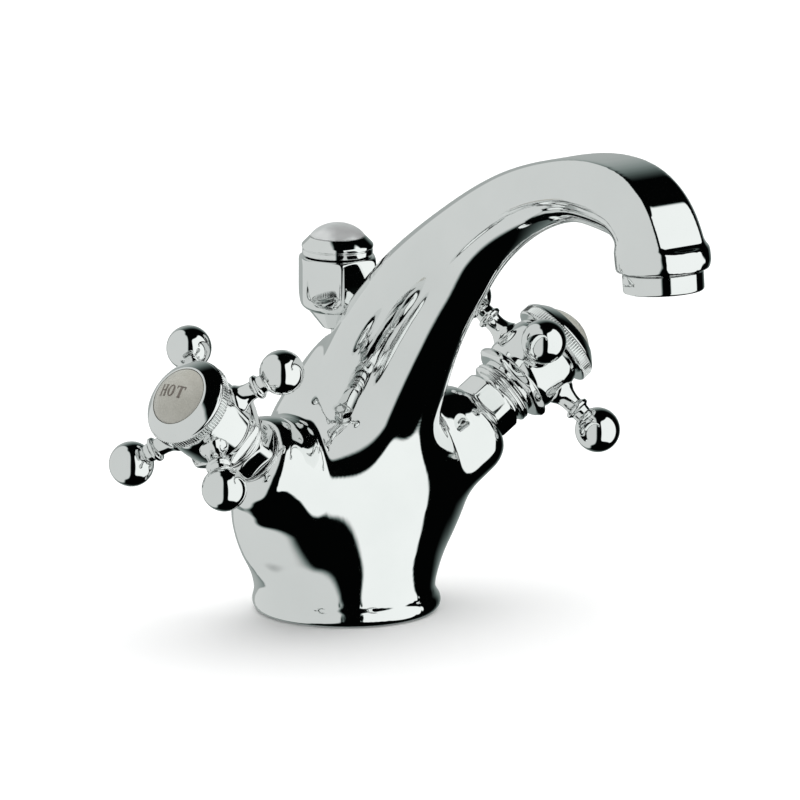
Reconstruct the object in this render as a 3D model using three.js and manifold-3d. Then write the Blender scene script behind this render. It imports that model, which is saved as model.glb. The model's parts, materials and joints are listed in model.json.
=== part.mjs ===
// Traditional monobloc basin mixer: one cast body with a fixed arched spout, two quarter-turn
// cross handles, a laminar spout outlet and a pop-up waste lift rod behind the spout.
// Millimetres, +Z up. The origin is the centre of the foot's underside, the spout points to -Y,
// the hot handle is on -X and the cold handle on +X.

import * as THREE from 'three';
import { LoftGeometry } from 'three/addons/geometries/LoftGeometry.js';
import { mergeVertices } from 'three/addons/utils/BufferGeometryUtils.js';
import Module from 'manifold-3d';

const wasm = await Module();
wasm.setup();

// ---------------------------------------------------------------- driving dimensions

const CLEARANCE = 0.3; // gap kept between neighbouring pieces

const FOOT_RADIUS = 27; // rolled bead round the foot
const FOOT_BEAD_HEIGHT = 6.4;

const HANDLE_PITCH = THREE.MathUtils.degToRad(36); // valve axes rise from the horizontal
const HANDLE_SWEEP = THREE.MathUtils.degToRad(9); // and lean forward towards the spout
const VALVE_CENTRE = new THREE.Vector3(0, -2.2, 22.9); // where the two valve axes meet
const CROSS_PLANE = 72.9; // distance along the valve axis to the handle's arms

const STUB_RADIUS = 14.2; // cast barrel that holds a valve
const STUB_END = 51;
const VALVE_BORE_RADIUS = 8.4;
const VALVE_BORE_FLOOR = 33;

const BALL_CIRCLE_RADIUS = 26.6; // handle axis to the centre of each ball
const BALL_RADIUS = 6.6;
const HOT_ARM_PHASE = THREE.MathUtils.degToRad(43); // arm angle from the uphill direction
const COLD_ARM_PHASE = THREE.MathUtils.degToRad(-33);
const KNURL_COUNT = 36;

const OUTLET_CENTRE = new THREE.Vector3(0, -148.4, 125.8); // lower face of the spout's collar
const OUTLET_TILT = THREE.MathUtils.degToRad(5); // outlet leans forward
const COLLAR_RADIUS = 13.4;
const COLLAR_HEIGHT = 6.4;

const ROD_Y = 4.2; // lift rod stands behind the spout
const ROD_RADIUS = 1.9;
const KNOB_HEX_RADIUS = 12.1; // across the corners, halved
const KNOB_BASE_Z = 81.6;

const FINE = 26; // segments round a large visible piece
const MEDIUM = 16;
const COARSE = 10;

// ---------------------------------------------------------------- solids and booleans

/** Turns a closed three.js geometry into a manifold solid. */
function toSolid(geometry) {
  const bare = new THREE.BufferGeometry();
  bare.setAttribute('position', geometry.attributes.position);
  if (geometry.index) bare.setIndex(geometry.index);
  const welded = mergeVertices(bare, 1e-4);
  const corners = welded.index.array;
  const kept = [];
  for (let i = 0; i < corners.length; i += 3) {
    const [a, b, c] = corners.slice(i, i + 3);
    if (a !== b && b !== c && c !== a) kept.push(a, b, c);
  }
  const mesh = new wasm.Mesh({
    numProp: 3,
    vertProperties: Float32Array.from(welded.attributes.position.array),
    triVerts: Uint32Array.from(kept),
  });
  return new wasm.Manifold(mesh);
}

/** Turns a manifold solid back into a three.js geometry. */
function toGeometry(solid) {
  const mesh = solid.getMesh();
  const geometry = new THREE.BufferGeometry();
  geometry.setAttribute('position', new THREE.BufferAttribute(Float32Array.from(mesh.vertProperties), 3));
  geometry.setIndex(Array.from(mesh.triVerts));
  geometry.computeVertexNormals();
  return geometry;
}

const unite = (solids) => solids.reduce((whole, next) => whole.add(next));
const cut = (solid, tools) => tools.reduce((rest, tool) => rest.subtract(tool), solid);

/** Revolves [radius, height] points round +Z. */
function turned(points, segments = MEDIUM) {
  const profile = points.map(([radius, height]) => new THREE.Vector2(radius, height));
  return new THREE.LatheGeometry(profile, segments).rotateX(Math.PI / 2);
}

/** A solid rod along +Z. */
function rod(radius, bottom, top, segments = COARSE) {
  return turned([[0, bottom], [radius, bottom], [radius, top], [0, top]], segments);
}

/** A hollow ring along +Z with a rectangular section. */
function ring(inner, outer, bottom, top, segments = MEDIUM) {
  return turned([[inner, bottom], [outer, bottom], [outer, top], [inner, top], [inner, bottom]], segments);
}

/** A round-section ring (an O-ring) along +Z. */
function oRing(radius, section, height, segments = MEDIUM) {
  const points = [];
  for (let i = 0; i < 6; i += 1) {
    const angle = (i / 6) * 2 * Math.PI;
    points.push([radius + section * Math.cos(angle), height + section * Math.sin(angle)]);
  }
  return turned([...points, points[0]], segments);
}

/** A hexagonal prism along +Z with a flat towards -Y. */
function hexPrism(cornerRadius, bottom, top) {
  const prism = new THREE.CylinderGeometry(cornerRadius, cornerRadius, top - bottom, 6);
  prism.rotateX(Math.PI / 2).rotateZ(Math.PI / 6 + Math.PI / 3);
  return prism.translate(0, 0, (top + bottom) / 2);
}

/** A round hole from one point to another. */
function drilling(from, to, radius, segments = COARSE) {
  const length = from.distanceTo(to);
  const hole = rod(radius, 0, length, segments);
  const turn = new THREE.Quaternion().setFromUnitVectors(
    new THREE.Vector3(0, 0, 1),
    to.clone().sub(from).normalize(),
  );
  return toSolid(hole.applyQuaternion(turn).translate(from.x, from.y, from.z));
}

// ---------------------------------------------------------------- materials

const FINISHES = {
  chrome: { color: 0xd9dcdb, roughness: 0.06, metalness: 1 },
  brass: { color: 0xb8923f, roughness: 0.35, metalness: 1 },
  steel: { color: 0xa9abad, roughness: 0.3, metalness: 1 },
  porcelain: { color: 0xd8d6c6, roughness: 0.2, metalness: 0 },
  ceramic: { color: 0xe9e8e2, roughness: 0.35, metalness: 0 },
  rubber: { color: 0x1c1c1d, roughness: 0.8, metalness: 0 },
  plastic: { color: 0xc9ccce, roughness: 0.5, metalness: 0 },
};

function piece(name, shape, finish) {
  const geometry = shape.isBufferGeometry ? shape : toGeometry(shape);
  const mesh = new THREE.Mesh(geometry, new THREE.MeshStandardMaterial(FINISHES[finish]));
  mesh.name = name;
  return mesh;
}

// ---------------------------------------------------------------- frames

/** Direction of a valve axis; side is -1 for hot and +1 for cold. */
function valveAxis(side) {
  return new THREE.Vector3(
    side * Math.cos(HANDLE_PITCH) * Math.cos(HANDLE_SWEEP),
    -Math.cos(HANDLE_PITCH) * Math.sin(HANDLE_SWEEP),
    Math.sin(HANDLE_PITCH),
  );
}

/** Local Z runs out along the valve axis and local X points uphill. */
function valveMatrix(side) {
  const outward = valveAxis(side);
  const uphill = new THREE.Vector3(0, 0, 1).addScaledVector(outward, -outward.z).normalize();
  const across = new THREE.Vector3().crossVectors(outward, uphill);
  return new THREE.Matrix4().makeBasis(uphill, across, outward).setPosition(VALVE_CENTRE);
}

const onValveAxis = (side, distance) => VALVE_CENTRE.clone().addScaledVector(valveAxis(side), distance);

function valveGroup(side) {
  const group = new THREE.Group();
  valveMatrix(side).decompose(group.position, group.quaternion, group.scale);
  return group;
}

function outletGroup() {
  const group = new THREE.Group();
  group.position.copy(OUTLET_CENTRE);
  group.rotation.x = -OUTLET_TILT;
  return group;
}

// ---------------------------------------------------------------- cast body

// The column and spout are one loft. Each station gives the outer edge (y, z) that runs up the
// back and over the top, the inner edge (y, z) that runs up the front and under the arch, the
// half width, and half the width of the flat along the outer edge.
const SPOUT_STATIONS = [
  { outer: [25.6, 4], inner: [-24.8, 4], width: 25, flat: 2.5 },
  { outer: [24.5, 20], inner: [-25.2, 16], width: 24.5, flat: 3 },
  { outer: [20.0, 40], inner: [-26.4, 32], width: 21.5, flat: 4 },
  { outer: [12.0, 60], inner: [-30.0, 49], width: 18.5, flat: 5 },
  { outer: [-0.5, 79.6], inner: [-37.5, 66], width: 16.4, flat: 5.6 },
  { outer: [-14.0, 97.4], inner: [-47.5, 84], width: 14.2, flat: 5.9 },
  { outer: [-31.5, 112.8], inner: [-58.2, 98.4], width: 12.8, flat: 6 },
  { outer: [-53.0, 127.4], inner: [-69.5, 111.5], width: 11.6, flat: 6 },
  { outer: [-78.0, 141.4], inner: [-88.0, 124.8], width: 11, flat: 6.1 },
  { outer: [-102.0, 150], inner: [-107.0, 132.2], width: 11, flat: 6.3 },
  { outer: [-121.0, 153.6], inner: [-119.5, 133.2], width: 11.4, flat: 6.7 },
  { outer: [-137.5, 152.6], inner: [-128.5, 132.6], width: 12, flat: 7 },
  { outer: [-149.4, 146.4], inner: [-133.2, 132], width: 12.3, flat: 7.1 },
  { outer: [-156.0, 137.6], inner: [-135.4, 130], width: 12.4, flat: 7.2 },
  { outer: [-159.6, 129.4], inner: [-136.6, 127.2], width: 12.4, flat: 7.2 },
];
const SPOUT_RINGS = 27;
const SECTION_POINTS = 22;

/** Smoothly interpolates one number or pair through the stations. */
function stationCurve(pick) {
  const points = SPOUT_STATIONS.map((station) => {
    const [a, b = 0] = [pick(station)].flat();
    return new THREE.Vector3(a, b, 0);
  });
  return new THREE.CatmullRomCurve3(points, false, 'centripetal');
}

/** A round section whose top is cut by a flat, spanned between the outer and inner edges. */
function spoutSection(outer, inner, halfWidth, halfFlat) {
  const cutHeight = Math.sqrt(1 - (halfFlat / halfWidth) ** 2);
  const top = new THREE.Vector3(0, outer.x, outer.y);
  const bottom = new THREE.Vector3(0, inner.x, inner.y);
  const up = top.clone().sub(bottom);
  const halfHeight = up.length() / (1 + cutHeight);
  const centre = bottom.clone().addScaledVector(up.normalize(), halfHeight);
  const corner = Math.asin(cutHeight);
  const sweep = Math.PI + 2 * corner;
  const points = [];
  for (let i = 0; i < SECTION_POINTS; i += 1) {
    const angle = Math.PI - corner + (i / (SECTION_POINTS - 1)) * sweep;
    const point = centre.clone().addScaledVector(up, halfHeight * Math.sin(angle));
    point.x = halfWidth * Math.cos(angle);
    points.push(point);
  }
  return points;
}

function columnAndSpout() {
  const outer = stationCurve((station) => station.outer);
  const inner = stationCurve((station) => station.inner);
  const width = stationCurve((station) => station.width);
  const flat = stationCurve((station) => station.flat);
  const sections = [];
  for (let i = 0; i <= SPOUT_RINGS; i += 1) {
    const t = i / SPOUT_RINGS;
    sections.push(spoutSection(outer.getPoint(t), inner.getPoint(t), width.getPoint(t).x, flat.getPoint(t).x));
  }
  return toSolid(new LoftGeometry(sections, { capStart: true, capEnd: true }));
}

/** The pedestal flares sideways from the round foot to meet both valve barrels. */
const PEDESTAL_LEVELS = [
  { z: 4, halfX: 25.4, halfY: 24.9, y: 0.8 },
  { z: 9, halfX: 27, halfY: 26, y: 1.6 },
  { z: 14, halfX: 29.2, halfY: 25.6, y: 1 },
  { z: 20, halfX: 32.6, halfY: 25.2, y: 0.6 },
  { z: 26, halfX: 36.4, halfY: 24.2, y: -0.4 },
  { z: 32, halfX: 40, halfY: 22, y: -2 },
  { z: 38, halfX: 41.5, halfY: 18.5, y: -3.6 },
  { z: 44, halfX: 38.5, halfY: 14, y: -4.6 },
  { z: 49, halfX: 30, halfY: 9, y: -5 },
];

function pedestal() {
  const sections = PEDESTAL_LEVELS.map((level) => {
    const points = [];
    for (let i = 0; i < FINE; i += 1) {
      const angle = (i / FINE) * 2 * Math.PI;
      points.push(new THREE.Vector3(
        level.halfX * Math.cos(angle),
        level.y + level.halfY * Math.sin(angle),
        level.z,
      ));
    }
    return points;
  });
  return toSolid(new LoftGeometry(sections, { capStart: true, capEnd: true }));
}

// One saddle joins the two barrels through the column. Its oval sections fan out from upright in
// the middle to square with the valve axis at each end.
const SADDLE_SECTIONS = [
  { x: 0, y: -3, z: 46, halfHeight: 33, halfDepth: 21, tilt: 0 },
  { x: 10, y: -3.6, z: 47, halfHeight: 30.4, halfDepth: 20, tilt: 9 },
  { x: 18, y: -4.6, z: 47.6, halfHeight: 26.4, halfDepth: 18.4, tilt: 18 },
  { x: 25, y: -6, z: 47.8, halfHeight: 21.6, halfDepth: 16.6, tilt: 27 },
  { x: 30, y: -6.8, z: 47.2, halfHeight: 17.2, halfDepth: 15, tilt: 34 },
  { x: 33.4, y: -7.4, z: 47.4, halfHeight: 13.8, halfDepth: 13.7, tilt: 36 },
];

function saddleRing({ x, y, z, halfHeight, halfDepth, tilt }, side) {
  const lean = THREE.MathUtils.degToRad(tilt);
  const points = [];
  for (let i = 0; i < FINE; i += 1) {
    const angle = (i / FINE) * 2 * Math.PI;
    const rise = halfHeight * Math.sin(angle);
    points.push(new THREE.Vector3(
      side * (x - rise * Math.sin(lean)),
      y + halfDepth * Math.cos(angle),
      z + rise * Math.cos(lean),
    ));
  }
  return points;
}

function saddle() {
  const left = SADDLE_SECTIONS.slice(1).reverse().map((section) => saddleRing(section, -1));
  const right = SADDLE_SECTIONS.map((section) => saddleRing(section, 1));
  return toSolid(new LoftGeometry([...left, ...right], { capStart: true, capEnd: true }));
}

function footBead() {
  const points = [[0, 0]];
  for (let i = 0; i <= 6; i += 1) {
    const angle = -Math.PI / 2 + (i / 6) * Math.PI;
    points.push([
      FOOT_RADIUS - 2.6 + 2.6 * Math.cos(angle),
      FOOT_BEAD_HEIGHT / 2 + (FOOT_BEAD_HEIGHT / 2) * Math.sin(angle),
    ]);
  }
  points.push([0, FOOT_BEAD_HEIGHT]);
  return toSolid(turned(points, FINE));
}

/** The barrel that holds a valve, with a domed end. */
function valveBarrel(side) {
  const barrel = turned([
    [0, 8], [STUB_RADIUS, 14], [STUB_RADIUS, 42], [STUB_RADIUS - 0.3, 44.6], [STUB_RADIUS - 1, 47],
    [STUB_RADIUS - 2.2, 49.2], [STUB_RADIUS - 3.6, 50.6], [STUB_RADIUS - 4.4, STUB_END], [0, STUB_END],
  ], FINE);
  return toSolid(barrel.applyMatrix4(valveMatrix(side)));
}

function collar() {
  const outer = turned([
    [0, 0], [COLLAR_RADIUS - 0.6, 0], [COLLAR_RADIUS, 0.6], [COLLAR_RADIUS, COLLAR_HEIGHT - 0.4],
    [COLLAR_RADIUS - 0.4, COLLAR_HEIGHT], [0, COLLAR_HEIGHT],
  ], FINE);
  outer.rotateX(-OUTLET_TILT).translate(OUTLET_CENTRE.x, OUTLET_CENTRE.y, OUTLET_CENTRE.z);
  return toSolid(outer);
}

/** Water path for one side: inlet socket, riser to the valve seat, valve bore and mixing drilling. */
function valveWaterway(side) {
  const bore = rod(VALVE_BORE_RADIUS, VALVE_BORE_FLOOR, STUB_END + 2, MEDIUM).applyMatrix4(valveMatrix(side));
  const port = new THREE.Vector3(side * 11.5, -4, 9.5);
  const socket = rod(5, -1, 10, COARSE).translate(port.x, port.y, 0);
  const mixing = new THREE.Vector3(0, -13.4, 59.2);
  return [
    toSolid(bore),
    toSolid(socket),
    drilling(port, onValveAxis(side, VALVE_BORE_FLOOR + 0.5), 3),
    drilling(onValveAxis(side, 44), mixing, 3),
  ];
}

/** The mixed water runs from the mixing point up the spout to the outlet socket. */
function spoutWaterway() {
  const path = new THREE.CatmullRomCurve3([
    new THREE.Vector3(0, -13, 54),
    new THREE.Vector3(0, -19, 71),
    new THREE.Vector3(0, -31, 91),
    new THREE.Vector3(0, -50, 109.5),
    new THREE.Vector3(0, -72, 123.5),
    new THREE.Vector3(0, -97, 135.5),
    new THREE.Vector3(0, -120, 142),
    new THREE.Vector3(0, -136, 141.5),
    new THREE.Vector3(0, -145.5, 136),
    new THREE.Vector3(0, -148, 128),
  ]);
  const section = new THREE.Shape().absarc(0, 0, 5.5, 0, 2 * Math.PI);
  const passage = new THREE.ExtrudeGeometry(section, { steps: 16, curveSegments: 5, extrudePath: path });
  const socket = rod(10.8, -1, 6, MEDIUM).rotateX(-OUTLET_TILT);
  socket.translate(OUTLET_CENTRE.x, OUTLET_CENTRE.y, OUTLET_CENTRE.z);
  return [toSolid(passage), toSolid(socket)];
}

/** Fixing stud hole, lift rod hole with its bush seat, and the groove for the base seal. */
function footCuts() {
  const stud = rod(4, -1, 14).translate(0, -16, 0);
  const rodHole = rod(2.9, -1, 90).translate(0, ROD_Y, 0);
  const bushSeat = rod(4.3, 57, 90).translate(0, ROD_Y, 0);
  const sealGroove = ring(20.9, 23.1, -1, 1.5, FINE);
  return [stud, rodHole, bushSeat, sealGroove].map(toSolid);
}

function mixerBody() {
  const barrels = [valveBarrel(-1), valveBarrel(1)];
  const shell = unite([columnAndSpout(), pedestal(), saddle(), footBead(), collar(), ...barrels]);
  const tools = [...valveWaterway(-1), ...valveWaterway(1), ...spoutWaterway(), ...footCuts()];
  return piece('mixer_body', cut(shell, tools), 'chrome');
}

function baseSeal() {
  return piece('base_seal', ring(21.2, 22.8, 0, 1.2, FINE), 'rubber');
}

// ---------------------------------------------------------------- outlet

function outletParts() {
  const group = outletGroup();
  const housing = turned([
    [9.6, -6], [11.2, -6], [11.6, -5.6], [11.6, -2.6], [11.3, -2.3], [11.3, -CLEARANCE],
    [10.4, -CLEARANCE], [10.4, 3.6], [9.2, 3.6], [9.2, -4.2], [9.6, -4.6], [9.6, -6],
  ], FINE);
  group.add(piece('outlet_housing', housing, 'chrome'));
  group.add(piece('outlet_insert', flowStraightener(), 'plastic'));
  group.add(piece('outlet_seal', ring(7.2, 10.4, 3.9, 5.6), 'rubber'));
  return group;
}

/** A disc of small round jets in two circles and a centre. */
function flowStraightener() {
  const outline = new THREE.Shape().absarc(0, 0, 8.9, 0, 2 * Math.PI);
  const rows = [{ radius: 0, count: 1 }, { radius: 3.2, count: 6 }, { radius: 6.3, count: 12 }];
  for (const row of rows) {
    for (let i = 0; i < row.count; i += 1) {
      const angle = (i / row.count) * 2 * Math.PI;
      const hole = new THREE.Path();
      hole.absarc(row.radius * Math.cos(angle), row.radius * Math.sin(angle), 1.05, 0, 2 * Math.PI, true);
      outline.holes.push(hole);
    }
  }
  const disc = new THREE.ExtrudeGeometry(outline, { depth: 5, bevelEnabled: false, curveSegments: 4 });
  return disc.translate(0, 0, -3.6);
}

// ---------------------------------------------------------------- valve, fixed pieces

/** Headwork: threaded barrel, hexagon, and the stepped neck below the handle. */
function bonnet() {
  const outer = toSolid(turned([
    [0, 36.6], [8.1, 36.6], [8.1, 48.9], [6.4, 48.9], [6.4, 50.7], [8.1, 50.7], [8.1, 58.9],
    [9.4, 59.2], [9.9, 59.7], [9.9, 60.7], [9.2, 61.3], [6.2, 61.5], [6.2, 66.2], [0, 66.2],
  ]));
  const chamfer = toSolid(turned([[0, 51.3], [9.1, 51.3], [9.8, 51.9], [9.8, 57], [8.7, 58], [0, 58]]));
  const hexagon = toSolid(hexPrism(9.8, 51.3, 58)).intersect(chamfer);
  const cavity = toSolid(rod(6.6, 36, 48, MEDIUM));
  const neckBore = toSolid(rod(4.2, 47, 67, MEDIUM));
  const windows = toSolid(rod(1.3, -9, 9, 12).rotateY(Math.PI / 2).translate(0, 0, 46.4));
  return cut(outer.add(hexagon), [cavity, neckBore, windows]);
}

/** Ceramic disc with two opposite round ports at the given angle. */
function portedDisc(bottom, top, angle) {
  const disc = toSolid(rod(6.3, bottom, top, MEDIUM));
  const ports = [0, Math.PI].map((turn) => {
    const port = rod(1.9, bottom - 1, top + 1, 12);
    return toSolid(port.translate(3.6 * Math.cos(angle + turn), 3.6 * Math.sin(angle + turn), 0));
  });
  return cut(disc, ports);
}

function fixedValveParts(side, label) {
  const group = valveGroup(side);
  group.add(piece(`${label}_bonnet`, bonnet(), 'chrome'));
  group.add(piece(`${label}_bonnet_seal`, oRing(7.45, 0.7, 49.8), 'rubber'));
  group.add(piece(`${label}_seat_seal`, ring(3, 7.9, VALVE_BORE_FLOOR + CLEARANCE, 36.3), 'rubber'));
  group.add(piece(`${label}_fixed_disc`, portedDisc(36.6, 39.9, 0), 'ceramic'));
  return group;
}

// ---------------------------------------------------------------- valve, turning pieces

function spindle() {
  const stem = toSolid(turned([
    [0, 43.6], [6.2, 43.6], [6.2, 44.9], [3.9, 44.9], [3.9, 54.8], [3, 54.8], [3, 56.4], [3.9, 56.4],
    [3.9, 74], [3.5, 74.4], [0, 74.4],
  ], MEDIUM));
  return cut(stem, [toSolid(rod(2.2, 66, 76, 16))]);
}

function handleScrew() {
  const seat = CROSS_PLANE + 3.6;
  const screw = toSolid(turned([
    [0, 66.4], [1.9, 66.4], [1.9, seat], [4.4, seat], [4.4, seat + 1.8], [3.9, seat + 2.6], [0, seat + 2.6],
  ], COARSE));
  const slot = new THREE.BoxGeometry(10, 1.1, 2).translate(0, 0, seat + 2.8);
  return cut(screw, [toSolid(slot)]);
}

/** Hub: a rear neck, a hexagonal rim, a groove, and a full drum that carries the four arms. */
function handleHub(phase) {
  const drum = toSolid(turned([
    [0, -10.3], [8.9, -10.3], [8.9, -8.2], [11, -7.2], [11, -6.2], [11.4, -5.4],
    [11.8, -2], [11.8, 1.4], [11.5, 4.8], [10.6, 6.9], [0, 6.9],
  ], FINE));
  const chamfer = toSolid(turned([
    [0, -9.4], [11.6, -9.4], [13, -8.4], [13, -7.2], [12.2, -6.8], [0, -6.8],
  ], FINE));
  const rim = toSolid(hexPrism(13, -9.4, -6.8).rotateZ(phase)).intersect(chamfer);
  const outer = drum.add(rim);
  const bores = [rod(6.9, -11, -6.2, MEDIUM), rod(4.2, -7, 2.1, MEDIUM), rod(2.2, 1, 5, 16)];
  const tools = [...bores, rod(4.9, 3.3, 8, MEDIUM)].map(toSolid);
  for (let i = 0; i < 4; i += 1) {
    const seat = turned([[0, 6.9], [2.5, 6.9], [2.5, 10.9], [4.5, 10.9], [4.5, 14], [0, 14]], COARSE);
    seat.rotateY(Math.PI / 2).rotateZ(phase + (i * Math.PI) / 2);
    tools.push(toSolid(seat));
  }
  return toGeometry(cut(outer, tools)).translate(0, 0, CROSS_PLANE);
}

/** One screw-in arm: threaded tail, flared root, slim neck, collar ring and ball. */
function handleArm(angle) {
  const ballStart = Math.PI - Math.asin(2.7 / BALL_RADIUS);
  const points = [
    [0, 7.4], [2.2, 7.4], [2.2, 11.2], [4.2, 11.2], [4.2, 12.1], [3.1, 13.5], [2.6, 15.4],
    [2.6, 17.2], [3.7, 17.7], [3.7, 18.6], [2.7, 19.2],
  ];
  for (let i = 0; i <= 8; i += 1) {
    const polar = ballStart * (1 - i / 8);
    points.push([BALL_RADIUS * Math.sin(polar), BALL_CIRCLE_RADIUS + BALL_RADIUS * Math.cos(polar)]);
  }
  points[points.length - 1] = [0, BALL_CIRCLE_RADIUS + BALL_RADIUS];
  const arm = turned(points, 14);
  return arm.rotateY(Math.PI / 2).rotateZ(angle).translate(0, 0, CROSS_PLANE);
}

/** Knurled ring that clamps the index disc, with a conical bezel. */
function indexRing() {
  const outline = new THREE.Shape();
  for (let i = 0; i < KNURL_COUNT * 2; i += 1) {
    const radius = i % 2 === 0 ? 13.2 : 12.75;
    const angle = (i / (KNURL_COUNT * 2)) * 2 * Math.PI;
    if (i === 0) outline.moveTo(radius, 0);
    else outline.lineTo(radius * Math.cos(angle), radius * Math.sin(angle));
  }
  outline.closePath();
  const knurled = new THREE.ExtrudeGeometry(outline, { depth: 3.4, bevelEnabled: false });
  const bezel = turned([
    [0, 10], [12.7, 10], [12.7, 11.1], [12.3, 11.6], [9.2, 14.2], [8.8, 14.3], [0, 14.3],
  ], FINE);
  const solid = toSolid(knurled.translate(0, 0, 7.2)).add(toSolid(bezel));
  return toGeometry(cut(solid, [toSolid(rod(8.8, 6, 15, FINE))])).translate(0, 0, CROSS_PLANE);
}

/** Domed porcelain disc. */
function indexDisc() {
  const disc = turned([
    [0, 9.2], [8.5, 9.2], [8.5, 14.1], [7.6, 14.9], [6.2, 15.9], [4.4, 16.8], [2.2, 17.4], [0, 17.6],
  ], FINE);
  return disc.translate(0, 0, CROSS_PLANE);
}

function turningValveParts(side, label, phase) {
  const group = valveGroup(side);
  group.add(piece(`${label}_moving_disc`, portedDisc(40.2, 43.3, Math.PI / 2), 'ceramic'));
  group.add(piece(`${label}_spindle`, spindle(), 'brass'));
  group.add(piece(`${label}_spindle_seal`, oRing(3.56, 0.46, 55.6), 'rubber'));
  group.add(piece(`${label}_handle_hub`, handleHub(phase), 'chrome'));
  for (let i = 0; i < 4; i += 1) {
    group.add(piece(`${label}_handle_arm_${i + 1}`, handleArm(phase + (i * Math.PI) / 2), 'chrome'));
  }
  group.add(piece(`${label}_handle_screw`, handleScrew(), 'steel'));
  group.add(piece(`${label}_index_ring`, indexRing(), 'chrome'));
  group.add(piece(`${label}_index_disc`, indexDisc(), 'porcelain'));
  return group;
}

// ---------------------------------------------------------------- pop-up waste lift rod

/** Hexagonal knob on a short cone; corners are rounded off at both ends. */
function liftKnob() {
  const base = KNOB_BASE_Z;
  const hexagon = toSolid(hexPrism(KNOB_HEX_RADIUS, base + 5.2, base + 21));
  const rounding = toSolid(turned([
    [0, base + 5], [8.4, base + 5], [10.6, base + 6.6], [KNOB_HEX_RADIUS, base + 9.4], [KNOB_HEX_RADIUS, base + 19.6],
    [KNOB_HEX_RADIUS - 1.2, base + 21], [0, base + 21],
  ], FINE));
  const cone = toSolid(turned([[0, base], [4.2, base], [4.6, base + 0.5], [8.6, base + 5.6], [0, base + 5.6]]));
  const tools = [rod(2.2, base - 1, base + 9), rod(5.3, base + 15, base + 22, MEDIUM)].map(toSolid);
  return cut(hexagon.intersect(rounding).add(cone), tools);
}

/** Grooved cylindrical cap with a shallow dome and a threaded spigot. */
function liftKnobCap() {
  const base = KNOB_BASE_Z + 21;
  return turned([
    [0, base - 5.5], [5, base - 5.5], [5, base + 0.3], [9.6, base + 0.3], [10.1, base + 0.7], [10.1, base + 1.8],
    [9.8, base + 2], [9.8, base + 2.3], [10.3, base + 2.5], [10.3, base + 3.2], [7.9, base + 5.7],
    [6.6, base + 7.1], [4.6, base + 8.4], [2.4, base + 9.1], [0, base + 9.4],
  ], MEDIUM);
}

function liftParts() {
  const group = new THREE.Group();
  group.position.y = ROD_Y;
  group.add(piece('lift_knob', liftKnob(), 'chrome'));
  group.add(piece('lift_knob_cap', liftKnobCap(), 'chrome'));
  group.add(piece('lift_rod', rod(ROD_RADIUS, 3, KNOB_BASE_Z + 8.5), 'chrome'));
  group.add(piece('rod_guide', ring(2.2, 4, 57.3, 76), 'chrome'));
  return group;
}

// ---------------------------------------------------------------- assembly

const mixer = new THREE.Group();
mixer.name = 'basin_mixer';
mixer.add(mixerBody(), baseSeal(), outletParts(), liftParts());
for (const [side, label, phase] of [[-1, 'hot', HOT_ARM_PHASE], [1, 'cold', COLD_ARM_PHASE]]) {
  mixer.add(fixedValveParts(side, label));
  mixer.add(turningValveParts(side, label, phase));
}

export default mixer;
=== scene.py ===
"""Looks of the two-handle basin mixer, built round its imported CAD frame.

The cast body is polygonised from a smooth blend of lofted and turned forms, so it has the soft
fillets of a polished casting. Turned pieces are revolved from filleted profiles. Everything is
written in millimetres in the CAD frame and stored in metres.
"""

import json
import math

import bmesh
import bpy
import numpy as np
import openvdb as vdb
from mathutils import Matrix, Vector


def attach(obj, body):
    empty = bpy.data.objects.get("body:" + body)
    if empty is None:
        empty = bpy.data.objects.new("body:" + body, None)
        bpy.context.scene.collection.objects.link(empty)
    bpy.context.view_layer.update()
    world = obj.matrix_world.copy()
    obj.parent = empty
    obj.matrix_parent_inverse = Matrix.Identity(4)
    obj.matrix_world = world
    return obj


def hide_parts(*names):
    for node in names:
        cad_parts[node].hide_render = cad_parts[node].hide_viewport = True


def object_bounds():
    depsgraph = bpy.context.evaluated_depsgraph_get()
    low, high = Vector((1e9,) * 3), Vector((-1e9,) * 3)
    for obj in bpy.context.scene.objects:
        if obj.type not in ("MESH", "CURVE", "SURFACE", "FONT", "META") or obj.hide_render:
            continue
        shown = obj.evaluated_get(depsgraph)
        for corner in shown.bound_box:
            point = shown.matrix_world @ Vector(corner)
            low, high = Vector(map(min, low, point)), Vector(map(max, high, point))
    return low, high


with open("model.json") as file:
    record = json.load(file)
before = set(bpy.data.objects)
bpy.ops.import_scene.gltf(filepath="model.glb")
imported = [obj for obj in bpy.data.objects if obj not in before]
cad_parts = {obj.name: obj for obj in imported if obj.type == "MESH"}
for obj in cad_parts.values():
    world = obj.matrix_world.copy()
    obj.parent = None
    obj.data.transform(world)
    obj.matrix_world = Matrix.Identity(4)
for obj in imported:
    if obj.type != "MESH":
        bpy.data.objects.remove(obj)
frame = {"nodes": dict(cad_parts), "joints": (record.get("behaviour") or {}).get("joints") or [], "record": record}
CAD_LOW, CAD_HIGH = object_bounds()
MM = 0.001

# ---------------------------------------------------------------- driving dimensions, in mm

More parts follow.
